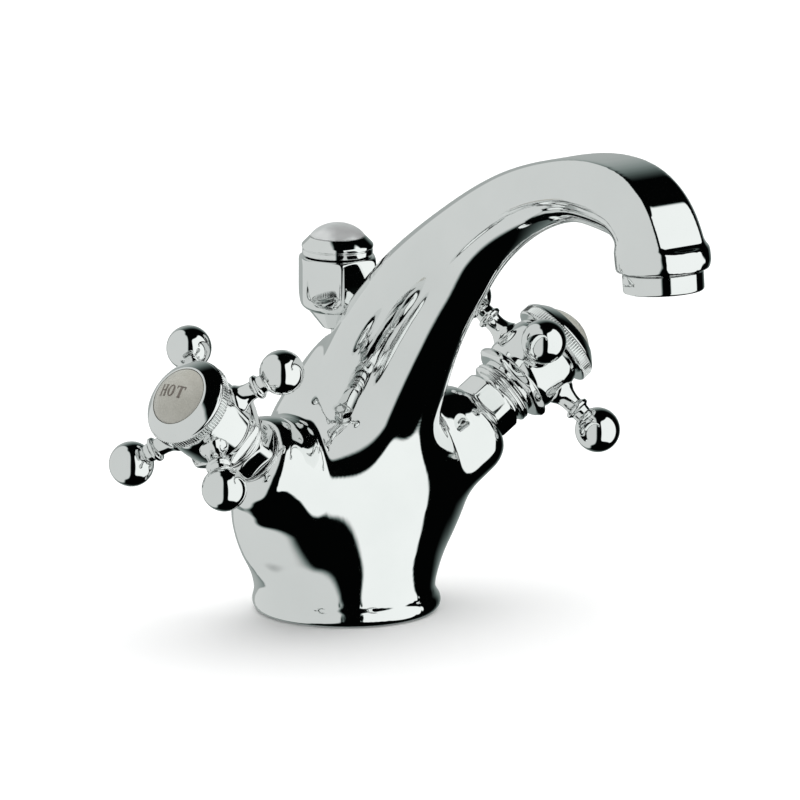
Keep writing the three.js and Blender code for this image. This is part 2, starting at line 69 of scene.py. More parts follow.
FOOT_RADIUS = 27.0
FOOT_BEAD_HEIGHT = 5.6
STUB_RADIUS = 14.2
STUB_END = 51.0
VALVE_BORE_RADIUS = 8.4
VALVE_BORE_FLOOR = 33.0
CROSS_PLANE = 72.9
BALL_CIRCLE_RADIUS = 26.6
BALL_RADIUS = 6.46
ARM_PHASE = {"hot": 43.0, "cold": -33.0}
KNURL_COUNT = 96
OUTLET_CENTRE = Vector((0.0, -148.4, 125.8))
OUTLET_TILT = math.radians(5.0)
COLLAR_RADIUS = 13.4
COLLAR_HEIGHT = 6.4
ROD_Y = 4.2
ROD_RADIUS = 1.9
KNOB_HEX_RADIUS = 12.1
KNOB_CORNER_RADIUS = KNOB_HEX_RADIUS + 0.25  # corners of the hexagon, trimmed by the turning
KNOB_BASE_Z = 81.6
CAP_BASE_Z = KNOB_BASE_Z + 21.0
GUIDE_BORE_FLOOR = 57.0
GUIDE_BORE_RADIUS = 4.3
ROD_HOLE_RADIUS = 2.9
OUTLET_SOCKET_RADIUS = 10.8
OUTLET_SOCKET_DEPTH = 6.0
STUD_HOLE_Y = -16.0
STUD_HOLE_RADIUS = 4.0
STUD_HOLE_DEPTH = 14.0
INLET_X, INLET_Y = 11.5, -4.0
INLET_RADIUS = 5.0
INLET_DEPTH = 10.0
SEAL_GROOVE_INNER, SEAL_GROOVE_OUTER = 20.9, 23.1
SEAL_GROOVE_DEPTH = 1.5
KNURL_DEPTH = 0.85
KNURL_RUNOUT = 0.35  # length over which the knurl fades out at each end
LETTER_HEIGHT = 3.7
INK_LIFT, INK_SINK = 0.04, 0.12  # above and below the glaze
WORD_TURN = 3.0  # degrees anticlockwise
# Word on each disc: text, width and centre.
WORDS = {"hot": ("HOT", 9.2, (-0.2, 0.2)), "cold": ("COLD", 11.4, (0.0, 0.2))}

# Fillets between the body's forms.
FOOT_FILLET = 1.0
COLUMN_FILLET = 7.0
ARM_FILLET = 5.0
CREASE_FILLET = 2.0
SHOULDER_FILLET = 11.0
BEAD_FILLET = 1.2
COLLAR_FILLET = 2.4

TURN_SEGMENTS = 128  # round a turned piece
FINE_SEGMENTS = 240  # round a piece with flats
CREASE = 35.0  # degrees between faces from which an edge stays sharp
BALL_STEPS = 28

# Stations along the column and spout: outer edge (y, z), inner edge (y, z), half width and half
# the width of the flat along the outer edge.
SPOUT_STATIONS = np.array([
    [25.6, 4.0, -24.8, 4.0, 25.0, 2.5],
    [24.5, 20.0, -25.2, 16.0, 24.5, 3.0],
    [20.0, 40.0, -26.4, 32.0, 21.5, 4.0],
    [12.0, 60.0, -30.0, 49.0, 18.5, 5.0],
    [-0.5, 79.6, -37.5, 66.0, 16.4, 5.6],
    [-14.0, 97.4, -47.5, 84.0, 14.2, 5.9],
    [-31.5, 112.8, -58.2, 98.4, 12.8, 6.0],
    [-53.0, 127.4, -69.5, 111.5, 11.6, 6.0],
    [-78.0, 141.4, -88.0, 124.8, 11.0, 6.1],
    [-102.0, 150.0, -107.0, 132.2, 11.0, 6.3],
    [-121.0, 153.6, -119.5, 133.2, 11.4, 6.7],
    [-137.5, 152.6, -128.5, 132.6, 12.0, 7.0],
    [-149.4, 146.4, -133.2, 132.0, 12.3, 7.1],
    [-156.0, 137.6, -135.4, 130.0, 12.4, 7.2],
    [-159.6, 129.4, -136.6, 127.2, 12.4, 7.2],
])
# Pedestal levels: z, half width, front y, back y and how square the plan is (2 is an ellipse,
# less is a rounded diamond).
PEDESTAL_LEVELS = np.array([
    [4.0, 26.0, -24.4, 26.2, 2.0],
    [8.0, 26.8, -24.9, 26.8, 1.9],
    [12.0, 29.8, -25.9, 27.0, 1.68],
    [16.0, 33.2, -26.9, 27.0, 1.52],
    [20.0, 36.2, -27.6, 26.6, 1.47],
    [26.0, 39.2, -28.1, 25.6, 1.49],
    [32.0, 40.9, -28.1, 23.6, 1.57],
    [38.0, 41.0, -27.9, 20.4, 1.71],
    [44.0, 37.4, -27.4, 16.6, 1.85],
    [50.0, 29.0, -26.8, 12.6, 1.95],
    [57.0, 19.6, -26.4, 8.6, 2.0],
])
# Half of the saddle between the barrels: x, y, z, half height, half depth, tilt in degrees.
SADDLE_SECTIONS = np.array([
    [0.0, -1.0, 46.0, 33.0, 19.0, 0.0],
    [10.0, -1.4, 47.0, 30.4, 17.4, 9.0],
    [18.0, -2.0, 47.6, 26.4, 15.0, 18.0],
    [25.0, -3.0, 47.8, 21.6, 12.4, 27.0],
    [30.0, -4.6, 47.2, 16.6, 10.6, 34.0],
    [33.4, -6.0, 47.4, 12.6, 9.6, 36.0],
])


# ---------------------------------------------------------------- frames

def joint_named(name):
    return next(j for j in frame["joints"] if j["name"] == name)


def valve_matrix(label):
    """Local Z runs out along the valve axis and local X points uphill."""
    joint = joint_named(f"{label}_valve")
    outward = Vector(joint["axis"]).normalized()
    uphill = Vector((0, 0, 1)) - outward * outward.z
    uphill.normalize()
    across = outward.cross(uphill)
    matrix = Matrix((uphill, across, outward)).transposed().to_4x4()
    matrix.translation = Vector(joint["pos_m"]) / MM
    return matrix


def outlet_matrix():
    return Matrix.Translation(OUTLET_CENTRE) @ Matrix.Rotation(-OUTLET_TILT, 4, "X")


# ---------------------------------------------------------------- mesh helpers

def full_turn(count):
    return np.arange(count) * 2 * math.pi / count


def natural_spline(rows, count):
    """Resamples rows of numbers along a smooth cubic curve through all of them."""
    rows = np.asarray(rows, float)
    last = len(rows) - 1
    system = np.zeros((last + 1, last + 1))
    right = np.zeros_like(rows)
    system[0, 0] = system[last, last] = 1.0
    for i in range(1, last):
        system[i, i - 1:i + 2] = (1.0, 4.0, 1.0)
        right[i] = 6.0 * (rows[i - 1] - 2.0 * rows[i] + rows[i + 1])
    bend = np.linalg.solve(system, right)
    t = np.linspace(0, last, count)
    i = np.minimum(t.astype(int), last - 1)
    b = (t - i)[:, None]
    a = 1.0 - b
    straight = a * rows[i] + b * rows[i + 1]
    return straight + ((a ** 3 - a) * bend[i] + (b ** 3 - b) * bend[i + 1]) / 6.0


def loft(rings):
    """Closes a stack of equal rings into one skin with fan caps. Returns (vertices, faces)."""
    rings = np.asarray(rings, float)
    count, around = rings.shape[:2]
    vertices = np.concatenate([rings.reshape(-1, 3), [rings[0].mean(0), rings[-1].mean(0)]])
    faces = []
    for i in range(count - 1):
        for j in range(around):
            k = (j + 1) % around
            faces.append((i * around + j, i * around + k, (i + 1) * around + k, (i + 1) * around + j))
    first, final = count * around, count * around + 1
    top = (count - 1) * around
    for j in range(around):
        k = (j + 1) % around
        faces.append((first, k, j))
        faces.append((final, top + j, top + k))
    return vertices, faces


def filleted(corners, steps=5):
    """Rounds a profile of (radius, height, fillet) corners into a dense [radius, height] list."""
    points = []
    for i, (r, z, fillet) in enumerate(corners):
        here = Vector((r, z))
        if fillet <= 0 or i in (0, len(corners) - 1):
            points.append(here)
            continue
        before = Vector(corners[i - 1][:2]) - here
        after = Vector(corners[i + 1][:2]) - here
        reach = min(fillet, before.length * 0.48, after.length * 0.48)
        start = here + before.normalized() * reach
        end = here + after.normalized() * reach
        for k in range(steps + 1):
            t = k / steps
            points.append(start * (1 - t) ** 2 + here * 2 * t * (1 - t) + end * t * t)
    return [(p.x, p.y) for p in points]


def revolved(profile, segments=TURN_SEGMENTS, closed=False, shape=None):
    """Turns a profile round +Z. shape(angles, radius, height) may bend each ring out of round."""
    angles = full_turn(segments)
    vertices, rings = [], []
    for r, z in profile:
        if r < 1e-6:
            rings.append([len(vertices)] * segments)
            vertices.append((0.0, 0.0, z))
            continue
        radii = np.full(segments, float(r)) if shape is None else shape(angles, r, z)
        rings.append(range(len(vertices), len(vertices) + segments))
        vertices.extend(zip(radii * np.cos(angles), radii * np.sin(angles), np.full(segments, z)))
    faces = []
    pairs = list(zip(rings, rings[1:])) + ([(rings[-1], rings[0])] if closed else [])
    for low, high in pairs:
        for j in range(segments):
            k = (j + 1) % segments
            corners = list(dict.fromkeys((low[j], low[k], high[k], high[j])))
            if len(corners) > 2:
                faces.append(tuple(corners))
    return np.array(vertices, float), faces


def joined(*parts):
    """Puts several (vertices, faces) skins into one."""
    vertices, faces, offset = [], [], 0
    for points, polygons in parts:
        vertices.append(points)
        faces.extend(tuple(i + offset for i in polygon) for polygon in polygons)
        offset += len(points)
    return np.concatenate(vertices), faces


def placed(part, matrix):
    """Moves a skin by a 4x4 matrix given in millimetres."""
    points, faces = part
    m = np.array(matrix)
    return points @ m[:3, :3].T + m[:3, 3], faces


def add_piece(name, part, body, material, replaces=(), crease=CREASE):
    """Makes a smooth-shaded object from a skin in millimetres and hangs it on its CAD body."""
    points, faces = part
    mesh = bpy.data.meshes.new(name)
    mesh.from_pydata((np.asarray(points) * MM).tolist(), [], faces)
    mesh.validate()
    bm_normals_outside(mesh)
    mesh.shade_smooth()
    mesh.set_sharp_from_angle(angle=math.radians(crease))
    mesh.materials.append(material)
    piece = bpy.data.objects.new(name, mesh)
    bpy.context.scene.collection.objects.link(piece)
    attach(piece, body)
    if replaces:
        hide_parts(*replaces)
    return piece


def bm_normals_outside(mesh):
    """Turns all faces to look outwards."""
    work = bmesh.new()
    work.from_mesh(mesh)
    bmesh.ops.recalc_face_normals(work, faces=work.faces)
    work.to_mesh(mesh)
    work.free()


# ---------------------------------------------------------------- materials

# The middle of a noise value, which spread() and tint() stretch over their ranges.
SPREAD_MIDDLE = (0.3, 0.7)
TINT_MIDDLE = (0.35, 0.65)


def node_material(name):
    material = bpy.data.materials.new(name)
    material.use_nodes = True
    nodes = material.node_tree.nodes
    return material, nodes, material.node_tree.links, nodes["Principled BSDF"]


def noise(nodes, links, scale, detail=4.0, roughness=0.5):
    """Noise over the object's own coordinates, scale in features per metre."""
    place = nodes.new("ShaderNodeTexCoord")
    texture = nodes.new("ShaderNodeTexNoise")
    texture.inputs["Scale"].default_value = scale
    texture.inputs["Detail"].default_value = detail
    texture.inputs["Roughness"].default_value = roughness
    links.new(place.outputs["Object"], texture.inputs["Vector"])
    return texture.outputs["Fac"]


def spread(nodes, links, value, low, high):
    """Maps the middle of a noise value onto low to high."""
    mapping = nodes.new("ShaderNodeMapRange")
    mapping.inputs["From Min"].default_value = SPREAD_MIDDLE[0]
    mapping.inputs["From Max"].default_value = SPREAD_MIDDLE[1]
    mapping.inputs["To Min"].default_value = low
    mapping.inputs["To Max"].default_value = high
    links.new(value, mapping.inputs["Value"])
    return mapping.outputs["Result"]


def tint(nodes, links, value, first, second):
    """A colour that wanders between two tints."""
    ramp = nodes.new("ShaderNodeValToRGB")
    for i, colour in enumerate((first, second)):
        ramp.color_ramp.elements[i].position = TINT_MIDDLE[i]
        ramp.color_ramp.elements[i].color = (*colour, 1)
    links.new(value, ramp.inputs["Fac"])
    return ramp.outputs["Color"]


def relief(nodes, links, value, depth, strength, shader):
    bump = nodes.new("ShaderNodeBump")
    bump.inputs["Distance"].default_value = depth
    bump.inputs["Strength"].default_value = strength
    links.new(value, bump.inputs["Height"])
    links.new(bump.outputs["Normal"], shader.inputs["Normal"])


def make_chrome():
    """Mirror chrome: a cool tint, faint polishing haze and the slight waviness of a casting."""
    material, nodes, links, shader = node_material("chrome_plate")
    shader.inputs["Metallic"].default_value = 1.0
    colour = tint(nodes, links, noise(nodes, links, 35), (0.86, 0.872, 0.868), (0.9, 0.908, 0.905))
    links.new(colour, shader.inputs["Base Color"])
    haze = spread(nodes, links, noise(nodes, links, 260, 6.0, 0.65), 0.015, 0.05)
    links.new(haze, shader.inputs["Roughness"])
    relief(nodes, links, noise(nodes, links, 420, 3.0), 0.00002, 0.06, shader)
    return material


def make_porcelain():
    material, nodes, links, shader = node_material("cream_porcelain")
    colour = tint(nodes, links, noise(nodes, links, 180), (0.4, 0.395, 0.35), (0.43, 0.425, 0.38))
    links.new(colour, shader.inputs["Base Color"])
    links.new(spread(nodes, links, noise(nodes, links, 500), 0.22, 0.32), shader.inputs["Roughness"])
    shader.inputs["Coat Weight"].default_value = 0.35
    shader.inputs["Coat Roughness"].default_value = 0.08
    relief(nodes, links, noise(nodes, links, 900), 0.00002, 0.1, shader)
    return material


def make_plain(name, first, second, metallic, rough, scale, depth):
    """A material with its own grain: two tints, a roughness range and a fine relief."""
    material, nodes, links, shader = node_material(name)
    shader.inputs["Metallic"].default_value = metallic
    links.new(tint(nodes, links, noise(nodes, links, scale), first, second), shader.inputs["Base Color"])
    links.new(spread(nodes, links, noise(nodes, links, scale * 3), *rough), shader.inputs["Roughness"])
    relief(nodes, links, noise(nodes, links, scale * 5), depth, 0.3, shader)
    return material


CHROME = make_chrome()
PORCELAIN = make_porcelain()
SATIN = make_plain("satin_chrome", (0.74, 0.75, 0.75), (0.8, 0.81, 0.81), 0.6, (0.3, 0.4), 300, 0.00002)
INK = make_plain("fired_ink", (0.1, 0.085, 0.07), (0.17, 0.15, 0.13), 0.0, (0.3, 0.45), 900, 0.00003)
BRASS = make_plain("turned_brass", (0.62, 0.46, 0.17), (0.74, 0.57, 0.26), 1.0, (0.22, 0.4), 240, 0.00004)
STEEL = make_plain("turned_steel", (0.5, 0.51, 0.52), (0.62, 0.63, 0.64), 1.0, (0.2, 0.36), 300, 0.00003)
CERAMIC = make_plain(
    "ground_ceramic", (0.82, 0.81, 0.77), (0.9, 0.89, 0.86), 0.0, (0.3, 0.45), 350, 0.00002,
)
RUBBER = make_plain(
    "black_rubber", (0.014, 0.014, 0.015), (0.03, 0.03, 0.032), 0.0, (0.6, 0.8), 500, 0.00006,
)
PLASTIC = make_plain("pale_plastic", (0.58, 0.6, 0.61), (0.66, 0.68, 0.69), 0.0, (0.35, 0.5), 400, 0.00003)


# ---------------------------------------------------------------- cast body

VOXEL = 0.5
BAND = 16  # voxels of true distance kept on each side of a skin
LOW = np.array([-48.0, -166.0, -3.0])
HIGH = np.array([48.0, 31.0, 158.0])
SHAPE = tuple(np.ceil((HIGH - LOW) / VOXEL).astype(int))
FAR = BAND * VOXEL
SMOOTHING_ROUNDS = 6


def window(low, high):
    """The part of the grid that holds a box, as slices, with room for the distance band."""
    first = np.clip(np.floor((low - FAR - LOW) / VOXEL), 0, SHAPE).astype(int)
    final = np.clip(np.ceil((high + FAR - LOW) / VOXEL), 0, SHAPE).astype(int)
    return tuple(slice(a, b) for a, b in zip(first, final))


def skin_distance(part):
    """Signed distance to a closed skin, with the window of the grid that it covers."""
    points, faces = part
    triangles = [(f[0], f[i], f[i + 1]) for f in faces for i in range(1, len(f) - 1)]
    grid = vdb.FloatGrid.createLevelSetFromPolygons(
        points.astype(np.float32),
        triangles=np.array(triangles, np.uint32),
        transform=vdb.createLinearTransform(voxelSize=VOXEL),
        halfWidth=BAND,
    )
    place = window(points.min(0), points.max(0))
    field = np.zeros([s.stop - s.start for s in place], np.float32)
    corner = [int(round(LOW[i] / VOXEL)) + place[i].start for i in range(3)]
    grid.copyToArray(field, ijk=corner)
    return field, place


def blended(first, second, radius):
    """Union of two distance fields with a fillet of about the given radius, a number or a field."""
    share = np.clip(0.5 + 0.5 * (second - first) / radius, 0, 1)
    return second * (1 - share) + first * share - radius * share * (1 - share)


def merge(parts, radius):
    """Joins skins one after another into a full field, with fillets between them."""
    whole = np.full(SHAPE, FAR, np.float32)
    for part in parts:
        field, place = skin_distance(part)
        whole[place] = blended(whole[place], field, radius)
    return whole


def spout_skin():
    rings = []
    for oy, oz, iy, iz, width, flat in natural_spline(SPOUT_STATIONS, 170):
        cut = math.sqrt(1 - (flat / width) ** 2)
        outer, inner = np.array([0, oy, oz]), np.array([0, iy, iz])
        height = np.linalg.norm(outer - inner) / (1 + cut)
        up = (outer - inner) / np.linalg.norm(outer - inner)
        centre = inner + up * height
        corner = math.asin(cut)
        angle = np.linspace(math.pi - corner, 2 * math.pi + corner, 100)
        ring = centre + np.outer(height * np.sin(angle), up)
        ring[:, 0] = width * np.cos(angle)
        across = np.linspace(ring[-1], ring[0], 14)[1:-1]
        rings.append(np.concatenate([ring, across]))
    return loft(rings)


def pedestal_skin():
    angle = full_turn(160)
    rings = []
    for z, half_x, front, back, square in natural_spline(PEDESTAL_LEVELS, 90):
        across = np.sign(np.cos(angle)) * np.abs(np.cos(angle)) ** (2 / square)
        along = np.sign(np.sin(angle)) * np.abs(np.sin(angle)) ** (2 / square)
        middle, half_y = (front + back) / 2, (back - front) / 2
        rings.append(np.stack([half_x * across, middle + half_y * along, np.full_like(angle, z)], 1))
    return loft(rings)


def saddle_skin():
    mirrored = SADDLE_SECTIONS[:0:-1] * np.array([-1, 1, 1, 1, 1, -1])
    angle = full_turn(120)
    rings = []
    for x, y, z, height, depth, tilt in natural_spline(np.concatenate([mirrored, SADDLE_SECTIONS]), 110):
        rise = height * np.sin(angle)
        lean = math.radians(tilt)
        rings.append(np.stack([
            x - rise * math.sin(lean), y + depth * np.cos(angle), z + rise * math.cos(lean),
        ], 1))
    return loft(rings)


def barrel_skin(label):
    profile = filleted([
        (0, 8, 0), (STUB_RADIUS, 14, 0), (STUB_RADIUS, 45.5, 4), (STUB_RADIUS - 1.6, 49, 3),
        (STUB_RADIUS - 4.2, STUB_END, 1.5), (0, STUB_END, 0),
    ])
    return placed(revolved(profile), valve_matrix(label))


def bead_skin():
    half = FOOT_BEAD_HEIGHT / 2
    angle = np.linspace(-math.pi / 2, math.pi / 2, 16)
    arc = [(FOOT_RADIUS - 2.6 + 2.6 * math.cos(a), half + half * math.sin(a)) for a in angle]
    return revolved([(0, 0), *arc, (0, FOOT_BEAD_HEIGHT)], 160)


def collar_skin():
    profile = filleted([
        (0, 0, 0), (COLLAR_RADIUS, 0, 0.8), (COLLAR_RADIUS, COLLAR_HEIGHT, 0.8), (0, COLLAR_HEIGHT, 0),
    ])
    return placed(revolved(profile, 160), outlet_matrix())


def grid_points(place):
    """Open coordinate arrays of a window, in millimetres."""
    axes = [LOW[i] + VOXEL * np.arange(place[i].start, place[i].stop) for i in range(3)]
    return np.meshgrid(*axes, indexing="ij", sparse=True)


def drill(field, matrix, radius, low, high, inner=0.0):
    """Cuts a round hole, or a ring-shaped groove, along a frame's Z axis from low to high."""
    ends = [matrix @ Vector((0, 0, z)) for z in (low, high)]
    lowest = np.min([e[:] for e in ends], 0) - radius
    highest = np.max([e[:] for e in ends], 0) + radius
    place = window(lowest, highest)
    x, y, z = grid_points(place)
    back = np.array(matrix.inverted())
    lx, ly, lz = (back[i, 0] * x + back[i, 1] * y + back[i, 2] * z + back[i, 3] for i in range(3))
    away = np.hypot(lx, ly)
    hole = np.maximum(np.maximum(away - radius, inner - away), np.maximum(low - lz, lz - high))
    field[place] = np.maximum(field[place], -hole)


def drill_body(field):
    """Valve bores, outlet socket, the lift rod's way, and the holes and groove under the foot."""
    below, above = -4.0, 90.0
    for label in ("hot", "cold"):
        drill(field, valve_matrix(label), VALVE_BORE_RADIUS, VALVE_BORE_FLOOR, STUB_END + 4)
    drill(field, outlet_matrix(), OUTLET_SOCKET_RADIUS, below, OUTLET_SOCKET_DEPTH)
    upright = Matrix.Translation((0, ROD_Y, 0))
    drill(field, upright, ROD_HOLE_RADIUS, below, above)
    drill(field, upright, GUIDE_BORE_RADIUS, GUIDE_BORE_FLOOR, above)
    drill(field, Matrix.Translation((0, STUD_HOLE_Y, 0)), STUD_HOLE_RADIUS, below, STUD_HOLE_DEPTH)
    for side in (-1, 1):
        drill(field, Matrix.Translation((side * INLET_X, INLET_Y, 0)), INLET_RADIUS, below, INLET_DEPTH)
    drill(field, Matrix.Identity(4), SEAL_GROOVE_OUTER, below, SEAL_GROOVE_DEPTH, inner=SEAL_GROOVE_INNER)


def relaxed(points, quads, rounds):
    """Smooths away the grid's ripple."""
    edges = np.concatenate([quads[:, [0, 1]], quads[:, [1, 2]], quads[:, [2, 3]], quads[:, [3, 0]]])
    edges = np.concatenate([edges, edges[:, ::-1]])
    count = np.bincount(edges[:, 0], minlength=len(points))[:, None]
    for _ in range(rounds):
        total = np.stack([
            np.bincount(edges[:, 0], weights=points[edges[:, 1], i], minlength=len(points))
            for i in range(3)
        ], 1)
        points = 0.5 * points + 0.5 * total / count
    return points


def cast_body():
    """Spout and pedestal flow together, more so with height. The barrels meet them along a tight
    crease in front and a wide fillet at the shoulders behind."""
    _, y, z = grid_points(tuple(slice(0, count) for count in SHAPE))
    spout = merge([spout_skin()], FOOT_FILLET)
    pedestal = merge([pedestal_skin()], FOOT_FILLET)
    trunk = blended(spout, pedestal, np.interp(z, (8, 33), (FOOT_FILLET, COLUMN_FILLET)))
    arms = merge([saddle_skin(), barrel_skin("hot"), barrel_skin("cold")], ARM_FILLET)
    behind = np.interp(y, (-12, 2), (0, 1))
    above = np.interp(z, (46, 60), (0, 1))
    field = blended(trunk, arms, CREASE_FILLET + (SHOULDER_FILLET - CREASE_FILLET) * behind * above)
    for part, fillet in ((bead_skin(), BEAD_FILLET), (collar_skin(), COLLAR_FILLET)):
        distance, place = skin_distance(part)
        field[place] = blended(field[place], distance, fillet)
    drill_body(field)
    grid = vdb.FloatGrid(FAR)
    grid.copyFromArray(field, ijk=[int(round(v / VOXEL)) for v in LOW])
    grid.transform = vdb.createLinearTransform(voxelSize=VOXEL)
    points, quads = grid.convertToQuads(isovalue=0.0)
    points = relaxed(points.astype(float), quads.astype(np.int64), SMOOTHING_ROUNDS)
    return np.clip(points, np.array(CAD_LOW) / MM, np.array(CAD_HIGH) / MM), quads.tolist()


# ---------------------------------------------------------------- turned and milled pieces

def hex_radius(corner_radius, sharpness, turn=0.0):
    """shape() for revolved(): limits each ring to a hexagon with slightly rounded corners."""
    flat = corner_radius * math.cos(math.pi / 6)
    normals = turn + np.arange(6) * math.pi / 3

    def shape(angles, radius, _height):
        reach = np.maximum(np.cos(angles[:, None] - normals), 0) / flat
        return ((reach ** sharpness).sum(1) + (1 / radius) ** sharpness) ** (-1 / sharpness)

    return shape


def knurl(depth, count, low, high):
    """shape() for revolved(): straight teeth between two heights, cut shallower at the ends."""

    def shape(angles, radius, height):
        fade = np.clip(min(height - low, high - height) / KNURL_RUNOUT, 0, 1)
        tooth = np.abs(((angles * count / (2 * math.pi)) % 1) - 0.5) * 2
        land = 0.35
        return radius - depth * fade * np.clip((tooth - land) / (1 - land), 0, 1)

    return shape


def key_flats(distance, turn, top):
    """shape() for revolved(): two opposite flats below a height."""

    def shape(angles, radius, height):
        if height > top:
            return np.full(len(angles), float(radius))
        reach = np.abs(np.cos(angles - turn))
        return np.minimum(radius, distance / np.maximum(reach, 1e-6))

    return shape


def bonnet():
    lower = filleted([
        (6.6, 36.6, 0), (8.1, 36.6, 0.3), (8.1, 48.9, 0.2), (6.5, 48.9, 0.2), (6.5, 50.7, 0.2),
        (8.1, 50.7, 0.2), (8.1, 58.3, 0.2), (8.2, 58.8, 0.3), (9.2, 59.0, 0.3), (9.9, 59.5, 0.4),
        (9.9, 60.0, 0.3), (9.6, 60.3, 0.2), (9.9, 60.6, 0.2), (9.9, 61.0, 0.3), (9.0, 61.6, 0.4),
        (6.2, 61.6, 0.2), (6.2, 66.2, 0.3), (4.2, 66.2, 0), (4.2, 48, 0), (6.6, 48, 0),
    ], 4)
    hexagon = filleted([
        (7.9, 51.3, 0), (9.0, 51.3, 0.3), (9.75, 52.0, 0.3), (9.75, 57.0, 0.4), (8.6, 58, 0.3),
        (7.9, 58, 0),
    ], 5)
    return joined(
        revolved(lower, closed=True),
        revolved(hexagon, 180, closed=True, shape=hex_radius(9.8, sharpness=40)),
    )


def handle_hub(phase):
    """Full drum with a hexagonal rim at the rear."""
    drum = filleted([
        (4.3, -6.2, 0), (6.9, -6.2, 0), (6.9, -10.6, 0.2), (8.9, -10.6, 0.3), (8.9, -9, 0),
        (10.6, -7.4, 0), (11.1, -6.4, 0.5), (11.6, -5.2, 1), (11.8, -1.8, 2.4), (11.85, 1.6, 2.6),
        (11.5, 4.8, 1.6), (10.5, 6.9, 0.8), (4.9, 6.9, 0), (4.9, 3.3, 0), (2.3, 3.3, 0), (2.3, 2.2, 0),
        (4.3, 2.2, 0),
    ], 6)
    rim = filleted([
        (8.4, -9.8, 0), (11.3, -9.8, 0.4), (13, -8.7, 0.6), (13, -7.7, 0.7), (12, -6.8, 0.6),
        (8.4, -6.6, 0),
    ], 6)
    return joined(
        revolved([(r, z + CROSS_PLANE) for r, z in drum], closed=True),
        revolved(
            [(r, z + CROSS_PLANE) for r, z in rim], FINE_SEGMENTS, closed=True,
            shape=hex_radius(13.1, sharpness=46, turn=phase + math.pi / 6),
        ),
    )


def handle_arm(angle):
    neck = filleted([
        (0, 10.0, 0), (4.3, 10.0, 0), (4.25, 11.8, 0.8), (3.15, 13.2, 1.2), (2.62, 15.2, 1.4),
        (2.6, 17.1, 0.4), (3.65, 17.6, 0.35), (3.65, 18.6, 0.35), (2.75, 19.1, 0.4), (2.6, 20.5, 0),
    ], 6)
    start = math.asin(2.6 / BALL_RADIUS)
    ball = []
    for i in range(1, BALL_STEPS + 1):
        polar = start + (math.pi - start) * i / BALL_STEPS
        ball.append((
            max(BALL_RADIUS * math.sin(polar), 0.0) if i < BALL_STEPS else 0.0,
            BALL_CIRCLE_RADIUS - BALL_RADIUS * math.cos(polar),
        ))
    profile = [*neck[:-1], (2.6, BALL_CIRCLE_RADIUS - BALL_RADIUS * math.cos(start)), *ball]
    lay = Matrix.Rotation(angle, 4, "Z") @ Matrix.Rotation(math.pi / 2, 4, "Y")
    return placed(revolved(profile, 72), Matrix.Translation((0, 0, CROSS_PLANE)) @ lay)


def index_ring():
    profile = filleted([
        (8.8, 7.2, 0), (12.6, 7.2, 0.3), (13.15, 7.6, 0.2), (13.15, 8.2, 0), (13.15, 8.9, 0),
        (13.15, 9.6, 0), (13.15, 10.5, 0.2), (12.8, 10.8, 0.2), (12.6, 11.3, 0.5), (11.2, 12.6, 2.0),
        (9.3, 14.1, 0.5), (8.72, 14.2, 0.2), (8.72, 13.4, 0), (8.8, 10, 0),
    ], 4)
    lifted = [(r, z + CROSS_PLANE) for r, z in profile]
    teeth = knurl(KNURL_DEPTH, KNURL_COUNT, CROSS_PLANE + 7.5, CROSS_PLANE + 10.6)
    return revolved(lifted, KNURL_COUNT * 8, closed=True, shape=teeth)


DOME_TOP = 17.6  # above the cross plane
DOME_RADIUS = 12.2


def disc_height(radius):
    """Height of the porcelain dome above the cross plane."""
    return DOME_TOP - DOME_RADIUS + np.sqrt(DOME_RADIUS ** 2 - radius ** 2)


def index_disc():
    dome = [(r, disc_height(r) + CROSS_PLANE) for r in np.linspace(0, 8.55, 30)]
    return revolved([*dome, (8.6, CROSS_PLANE + 13.6), (8.6, CROSS_PLANE + 9.2), (0, CROSS_PLANE + 9.2)])


# Slab-serif capitals on a cell 1 wide and 1 high: bars as (x0, y0, x1, y1), bowls as
# (x, y, outer rx, outer ry, stroke x, stroke y, from degrees, to degrees).
STEM, SLAB = 0.24, 0.1


def serif(x, y):
    return (x - 0.16, y, x + 0.16, y + SLAB)


LETTERS = {
    "H": ([(0.13, 0, 0.13 + STEM, 1), (0.67, 0, 0.67 + STEM, 1), (0.2, 0.45, 0.8, 0.55),
           serif(0.23, 0), serif(0.23, 1 - SLAB), serif(0.77, 0), serif(0.77, 1 - SLAB)], []),
    "O": ([], [(0.5, 0.5, 0.42, 0.5, STEM, SLAB, 0, 360)]),
    "T": ([(0.4, 0, 0.4 + STEM, 1), (0.06, 1 - SLAB, 0.94, 1), serif(0.5, 0),
           (0.06, 0.74, 0.06 + SLAB, 1), (0.94 - SLAB, 0.74, 0.94, 1)], []),
    "C": ([(0.8, 0.68, 0.8 + SLAB, 0.96)], [(0.52, 0.5, 0.42, 0.5, STEM, SLAB, 42, 318)]),
    "L": ([(0.16, 0, 0.16 + STEM, 1), (0.08, 0, 0.88, SLAB), serif(0.26, 1 - SLAB),
           (0.88 - SLAB, 0, 0.88, 0.28)], []),
    "D": ([(0.14, 0, 0.14 + STEM, 1), serif(0.2, 0), serif(0.2, 1 - SLAB)],
          [(0.3, 0.5, 0.6, 0.5, STEM, SLAB, -90, 90)]),
}


